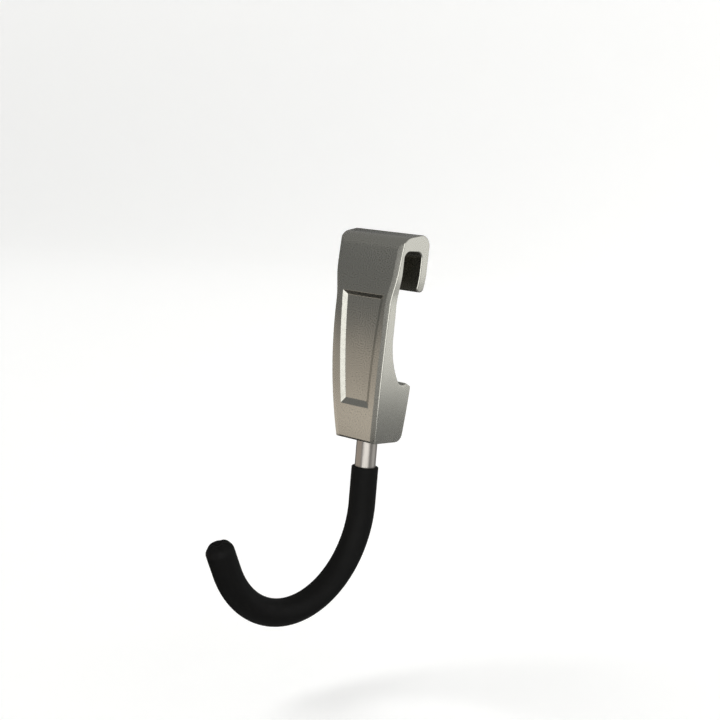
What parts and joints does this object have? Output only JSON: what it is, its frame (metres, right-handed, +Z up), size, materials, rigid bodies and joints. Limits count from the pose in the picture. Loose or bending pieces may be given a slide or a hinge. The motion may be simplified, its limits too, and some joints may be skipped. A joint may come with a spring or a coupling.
{
  "type": "rail-mounted J hook",
  "caption": "Satin metal die-cast bracket that hangs over a wall rail and carries a steel J-shaped hook with a black grip sleeve, for hanging tools and cables.",
  "frame": {"origin": "middle of the seat by which the body hangs on its rail: the underside of the curled top, half way across and half way into the slot", "axes": "+Z up, +Y towards the wall, +X to the right when the front is looked at; the hook opens towards -Y and is the same on both sides of X = 0"},
  "size_m": [0.0332, 0.085, 0.1456],
  "materials": {
    "cast_metal": "satin nickel-grey finish on a zinc die-casting",
    "rod_steel": "bright drawn steel, zinc plated",
    "pin_steel": "plain dark spring steel",
    "sleeve": "matt black soft vinyl"
  },
  "bodies": {
    "root": {"cast_body": "cast_metal", "j_rod": "rod_steel", "spring_pin": "pin_steel", "grip_sleeve": "sleeve"}
  },
  "joints": []
}
